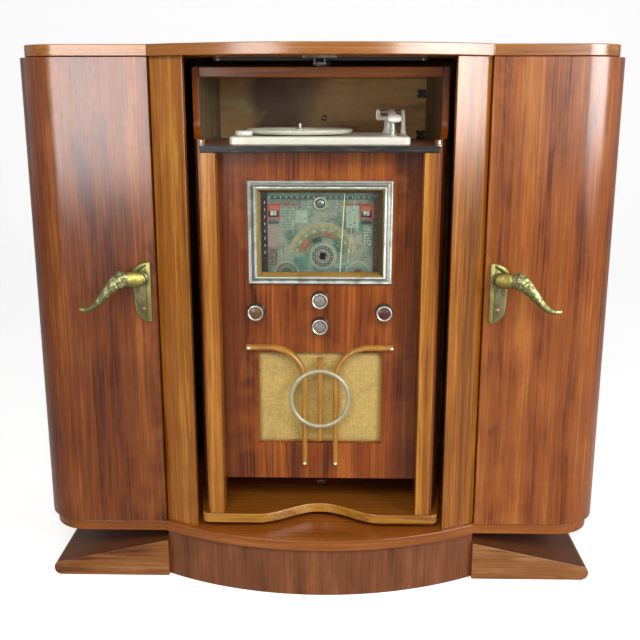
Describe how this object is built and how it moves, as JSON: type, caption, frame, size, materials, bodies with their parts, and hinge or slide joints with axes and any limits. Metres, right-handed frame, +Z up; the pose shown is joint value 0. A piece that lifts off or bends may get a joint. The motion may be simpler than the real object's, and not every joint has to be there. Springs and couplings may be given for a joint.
{
  "type": "radiogram",
  "caption": "Bow-fronted wooden radiogram: a revolving drum holds the radio, speaker and record player between two side cupboards with curved doors.",
  "frame": {"origin": "on the floor under the middle of the whole cabinet, doors closed", "axes": "+Z up, +X to the right of somebody who faces the front, -Y out of the front"},
  "size_m": [1.112, 0.517, 1.03],
  "materials": {
    "walnut_veneer": "gloss lacquer",
    "light_walnut": "gloss lacquer",
    "dark_walnut": "gloss lacquer",
    "plywood": "bare, oiled",
    "black_lacquer": "satin, worn edge",
    "aged_brass": "aged satin",
    "steel": "dull zinc plate",
    "plated_frame": "polished plate",
    "dial_glass": "clear",
    "dial_print": "printed",
    "pointer_cream": "gloss",
    "eye_glass": "gloss",
    "amber_knob": "gloss with plated ring",
    "red_knob": "gloss with plated ring",
    "grey_knob": "satin with plated ring",
    "valve_glass": "glass, silvered at the top",
    "dark_iron": "satin black",
    "aluminium": "bare",
    "paper_cone": "matt",
    "gold_cloth": "woven",
    "cream_enamel": "gloss enamel",
    "white_plastic": "gloss"
  },
  "bodies": {
    "cabinet": {"top_board": "walnut_veneer", "bottom_board": "walnut_veneer", "plinth": "light_walnut", "side_feet": "light_walnut", "side_panel_left": "walnut_veneer", "side_panel_right": "walnut_veneer", "partition_left": "walnut_veneer", "partition_right": "walnut_veneer", "pilaster_left": "light_walnut", "pilaster_right": "light_walnut", "back_panel": "plywood", "wing_shelves": "plywood", "hinge_plates": "aged_brass", "pivot_bearer": "steel", "base_bearing": "steel", "turn_catch": "steel"},
    "left_door": {"door_left": "walnut_veneer", "door_leaves_left": "aged_brass", "handle_plate_left": "aged_brass"},
    "right_door": {"door_right": "walnut_veneer", "door_leaves_right": "aged_brass", "handle_plate_right": "aged_brass"},
    "left_handle": {"handle_left": "aged_brass"},
    "right_handle": {"handle_right": "aged_brass"},
    "drum": {"drum_base": "light_walnut", "drum_top": "walnut_veneer", "drum_side_left": "walnut_veneer", "drum_side_right": "walnut_veneer", "closed_front": "walnut_veneer", "drum_stiles": "light_walnut", "deck_board": "black_lacquer", "deck_back": "plywood", "drum_shelves": "plywood", "control_panel": "dark_walnut", "dial_frame": "plated_frame", "dial_glass": "dial_glass", "dial_scale": "dial_print", "tuning_eye": "eye_glass", "chassis": "steel", "valves": "valve_glass", "mains_transformer": "dark_iron", "tuning_capacitor": "aluminium", "baffle_board": "plywood", "speaker_frame": "dark_iron", "speaker_cone": "paper_cone", "grille_cloth": "gold_cloth", "grille_bars": "light_walnut", "grille_ring": "plated_frame", "player_base": "cream_enamel", "turntable_motor": "dark_iron"},
    "pointer": {"dial_pointer": "pointer_cream"},
    "volume_knob": {"knob_left": "amber_knob"},
    "tone_knob": {"knob_right": "red_knob"},
    "tuning_knob": {"knob_upper": "grey_knob"},
    "wave_knob": {"knob_lower": "grey_knob"},
    "rotor": {"capacitor_rotor": "aluminium"},
    "turntable": {"turntable": "cream_enamel"},
    "arm_post": {"arm_yoke": "cream_enamel"},
    "arm": {"tonearm": "cream_enamel"},
    "speed": {"speed_lever": "white_plastic"}
  },
  "joints": [
    {"name": "drum_turn", "type": "hinge", "parent": "cabinet", "child": "drum", "pos_m": [0, -0.0475, 0.119], "axis": [0, 0, 1], "range_deg": [0, 180]},
    {"name": "right_door_hinge", "type": "hinge", "parent": "cabinet", "child": "right_door", "pos_m": [0.552, -0.0812, 0.5], "axis": [0, 0, 1], "range_deg": [0, 100]},
    {"name": "left_door_hinge", "type": "hinge", "parent": "cabinet", "child": "left_door", "pos_m": [-0.552, -0.0812, 0.5], "axis": [0, 0, -1], "range_deg": [0, 100]},
    {"name": "right_handle_turn", "type": "hinge", "parent": "right_door", "child": "right_handle", "pos_m": [0.331, -0.1815, 0.614], "axis": [0, 1, 0], "range_deg": [0, 60]},
    {"name": "left_handle_turn", "type": "hinge", "parent": "left_door", "child": "left_handle", "pos_m": [-0.331, -0.1815, 0.614], "axis": [0, -1, 0], "range_deg": [0, 60]},
    {"name": "volume_turn", "type": "hinge", "parent": "drum", "child": "volume_knob", "pos_m": [-0.1205, -0.1815, 0.546], "axis": [0, 1, 0], "range_deg": [-150, 150]},
    {"name": "tone_turn", "type": "hinge", "parent": "drum", "child": "tone_knob", "pos_m": [0.1205, -0.1815, 0.546], "axis": [0, 1, 0], "range_deg": [-150, 150]},
    {"name": "tuning_turn", "type": "hinge", "parent": "drum", "child": "tuning_knob", "pos_m": [0, -0.1815, 0.5695], "axis": [0, 1, 0], "range_deg": [-820, 270]},
    {"name": "wave_turn", "type": "hinge", "parent": "drum", "child": "wave_knob", "pos_m": [0, -0.1815, 0.5195], "axis": [0, 1, 0], "range_deg": [-60, 60]},
    {"name": "pointer_slide", "type": "slide", "parent": "drum", "child": "pointer", "axis": [1, 0, 0], "range_m": [-0.13, 0.043]},
    {"name": "capacitor_turn", "type": "hinge", "parent": "drum", "child": "rotor", "pos_m": [0, -0.1175, 0.625], "axis": [0, 1, 0], "range_deg": [-136, 45]},
    {"name": "turntable_spin", "type": "hinge", "parent": "drum", "child": "turntable", "pos_m": [-0.04, -0.0765, 0.873], "axis": [0, 0, 1], "continuous": true},
    {"name": "arm_swing", "type": "hinge", "parent": "drum", "child": "arm_post", "pos_m": [0.133, -0.0315, 0.871], "axis": [0, 0, 1], "range_deg": [-60, 0]},
    {"name": "arm_lift", "type": "hinge", "parent": "arm_post", "child": "arm", "pos_m": [0.133, -0.0315, 0.911], "axis": [-1, 0, 0], "range_deg": [0, 20]},
    {"name": "speed_turn", "type": "hinge", "parent": "drum", "child": "speed", "pos_m": [-0.139, -0.1435, 0.8713], "axis": [0, 0, 1], "range_deg": [-30, 30]}
  ],
  "couplings": [
    {"joint": "pointer_slide", "follows": "tuning_turn", "m_per_rad": 0.009},
    {"joint": "capacitor_turn", "follows": "tuning_turn", "ratio": 0.165}
  ]
}
